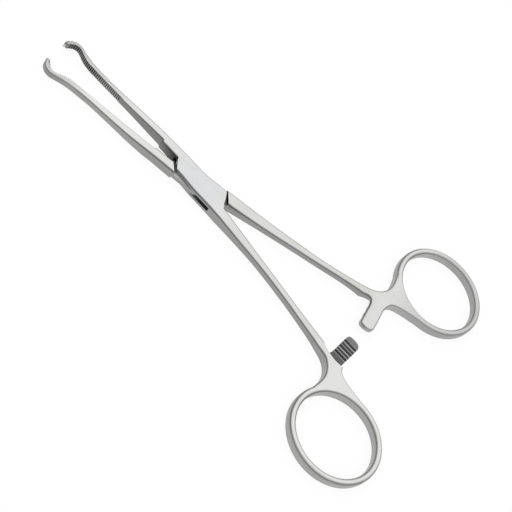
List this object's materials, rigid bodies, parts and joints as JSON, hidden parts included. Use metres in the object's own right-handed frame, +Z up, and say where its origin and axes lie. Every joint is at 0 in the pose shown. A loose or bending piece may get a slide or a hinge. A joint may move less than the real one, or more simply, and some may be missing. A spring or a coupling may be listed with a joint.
{
  "type": "phalangeal clamp",
  "caption": "Ring-handled steel bone clamp with a box lock, ratchet arms and slim hooked jaws with cross-serrated grips, lying open.",
  "frame": {"origin": "on the pivot's axis at the flat underside that the clamp lies on", "axes": "+X along the clamp from the tips of the jaws to the finger rings, half way between the two halves, +Y to the side of the box half's jaw, +Z up along the pivot"},
  "size_m": [0.1439, 0.0936, 0.0036],
  "materials": {
    "satin_steel": "satin",
    "pin_steel": "satin"
  },
  "bodies": {
    "box_half": {"box_half": "satin_steel", "pivot_pin": "pin_steel"},
    "through_half": {"through_half": "satin_steel"}
  },
  "joints": [
    {"name": "box_lock", "type": "hinge", "parent": "box_half", "child": "through_half", "pos_m": [0, 0, 0], "axis": [0, 0, 1], "range_deg": [-9.1, 105]}
  ]
}
